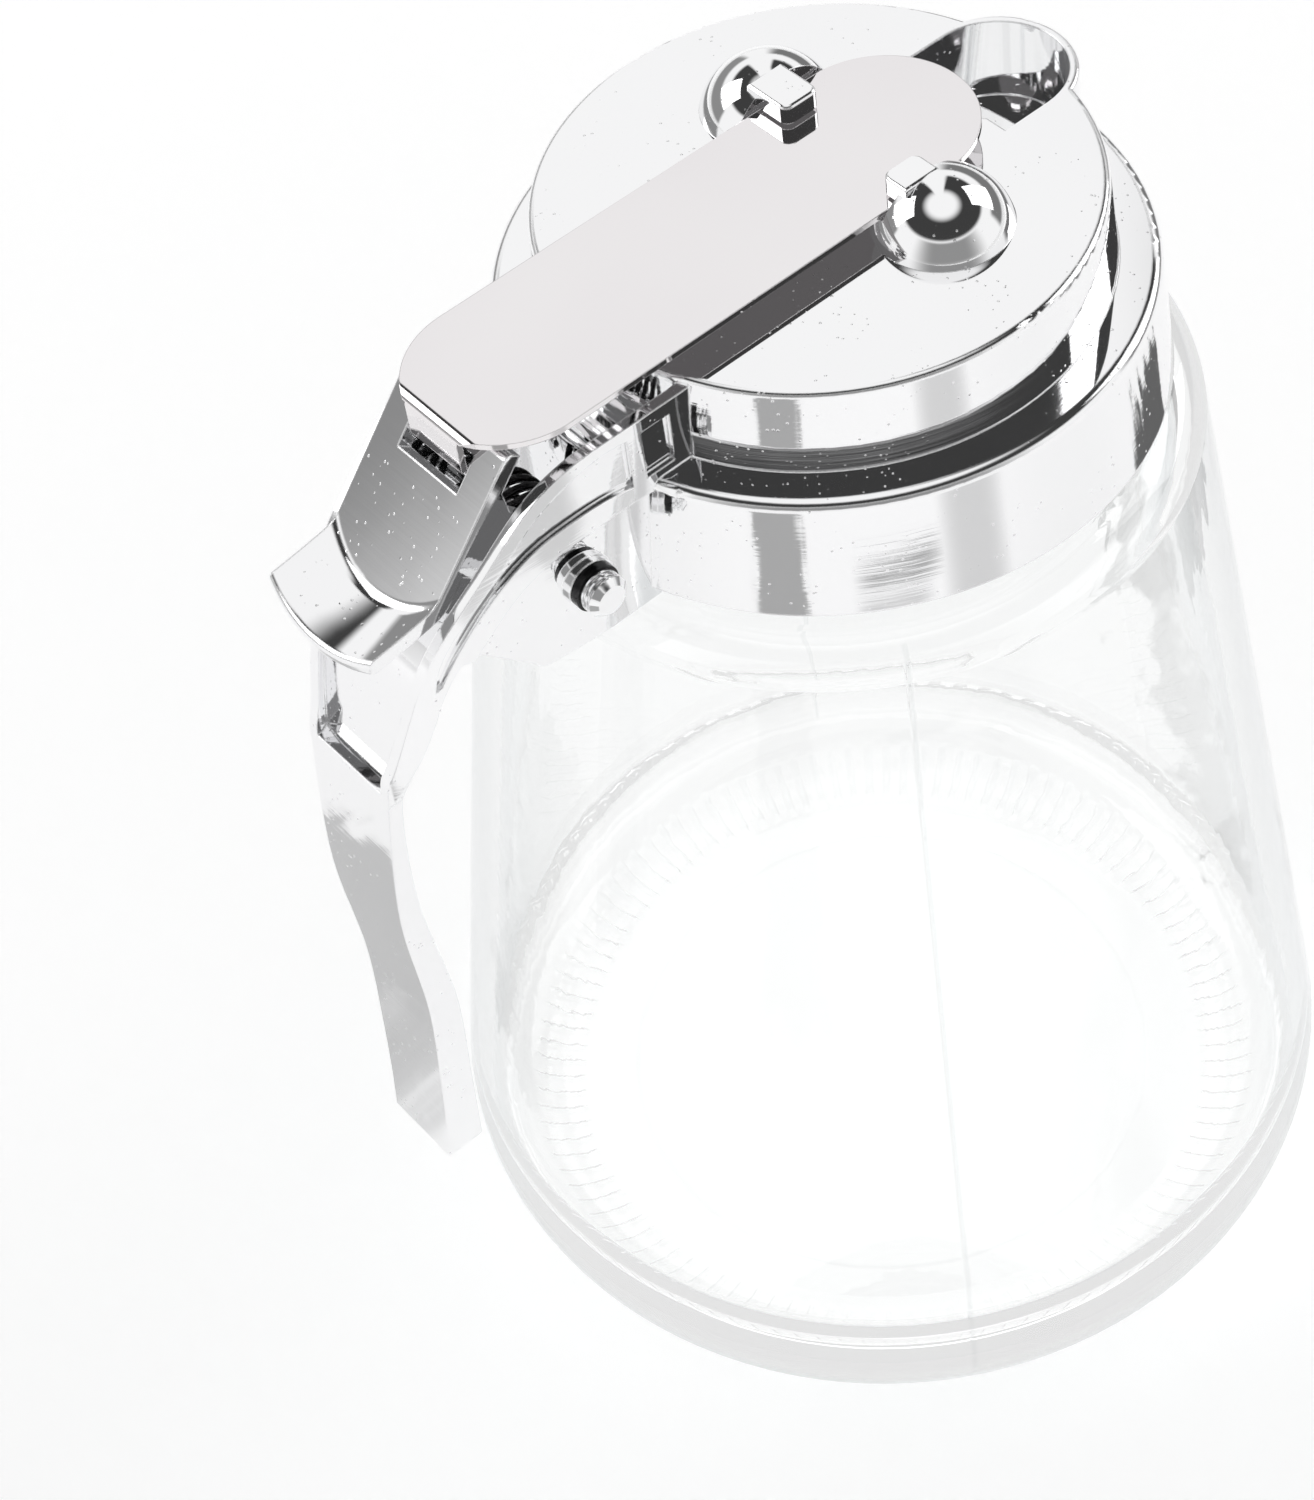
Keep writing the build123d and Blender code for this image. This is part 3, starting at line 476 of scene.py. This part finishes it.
PAPER = 0.90
GLOW = 0.29  # lifts the lit paper to white for rays that see it straight, mirrored or through glass
THROUGH_GLASS = 0.97
THROUGH_SHARE = 0.85  # how far rays through glass see plain white paper instead of the lit one
# the paper's colour and glow carry the painted reflections, darker for mirrored rays where the patches lie
paper = t.add("ShaderNodeBsdfDiffuse", {0: t.scaled((PAPER, PAPER, PAPER), outside_reflections), 1: 1.0})
glow = t.light(t.times(seen, GLOW, outside_reflections))
lit = t.add("ShaderNodeAddShader", {0: paper, 1: glow})
# rays through glass see the paper glow white, less where the painted shade patches lie
white = t.light(t.times(t.math("SUBTRACT", 1.0, painted_glass_shade), THROUGH_GLASS))
t.put(out, 0, t.mix(t.times(path["Is Transmission Ray"], THROUGH_SHARE), lit, white))
paint(floor, m)

# ------------------------------------------------------------------ world: a pale room with dark parts
VIEWER_SIDE = 237.0
LEFT_SIDE = 104.0
RIGHT_SIDE = 8.0
GALLERY_SHADE = 0.95  # how much light each dark part takes from mirrored rays
WALL_SHADE = 0.70
LEFT_SHADE = 0.72
RIGHT_SHADE = 0.80
MURK_SHADE = 0.78  # what the left and right ones take from rays through glass
ROOM_SEEN = 0.98
ROOM_FILL = 0.62  # the light that the room throws on the object

world = bpy.data.worlds.new("Room")
scene.world = world
world.use_nodes = True
world.node_tree.nodes.clear()
t = Tree(world.node_tree)
way = t.add("ShaderNodeTexCoord").outputs["Generated"]
bearing = t.unit(t.level(way))
rise = t.add("ShaderNodeSeparateXYZ", {0: way}).outputs["Z"]

# a band high up, open on the far side only; a wall behind the viewer; low things to the left and right
low_band = t.band(rise, -0.06, 0.04, 0.28, 0.38)
gallery = t.times(t.sector(bearing, VIEWER_SIDE, 162.0, 168.0), t.band(rise, 0.52, 0.61, 0.87, 0.96))
wall = t.times(t.sector(bearing, VIEWER_SIDE, 22.0, 62.0), t.band(rise, -0.25, 0.05, 0.48, 0.56))
left = t.times(t.sector(bearing, LEFT_SIDE, 35.0, 41.0), low_band)
right = t.times(t.sector(bearing, RIGHT_SIDE, 34.0, 44.0), low_band)
dark = t.most(
    t.times(gallery, GALLERY_SHADE),
    t.times(wall, WALL_SHADE),
    t.times(left, LEFT_SHADE),
    t.times(right, RIGHT_SHADE),
)

path = t.add("ShaderNodeLightPath").outputs
mirrored = path["Is Glossy Ray"]
straight = t.most(path["Is Camera Ray"], path["Is Transmission Ray"])
others = t.math("SUBTRACT", 1.0, t.most(mirrored, straight))
murk = t.times(t.most(left, right), path["Is Transmission Ray"], MURK_SHADE)
strength = t.times(mirrored, t.math("SUBTRACT", 1.0, dark))
strength = t.math("ADD", strength, t.times(others, ROOM_FILL))
strength = t.math("ADD", strength, t.times(straight, t.math("SUBTRACT", ROOM_SEEN, murk)))
background = t.add("ShaderNodeBackground", {0: WHITE, 1: strength})
t.put(t.add("ShaderNodeOutputWorld"), 0, background)


# ------------------------------------------------------------------ lamps
LAMP_AIM = Vector((0.0, 0.0, 0.08))


def soft_lamp(name, place, size, power):
    """A rectangular lamp that faces the middle of the jar."""
    data = bpy.data.lights.new(name, "AREA")
    data.shape = "RECTANGLE"
    data.size, data.size_y = size
    data.energy = power
    o = bpy.data.objects.new(name, data)
    scene.collection.objects.link(o)
    o.location = place
    o.rotation_mode = "QUATERNION"
    o.rotation_quaternion = (LAMP_AIM - Vector(place)).to_track_quat("-Z", "Y")


soft_lamp("Key", place=(-0.55, 0.85, 0.85), size=(0.7, 0.7), power=3.5)
soft_lamp("Side", place=(0.95, -0.15, 0.75), size=(0.6, 0.7), power=2.5)
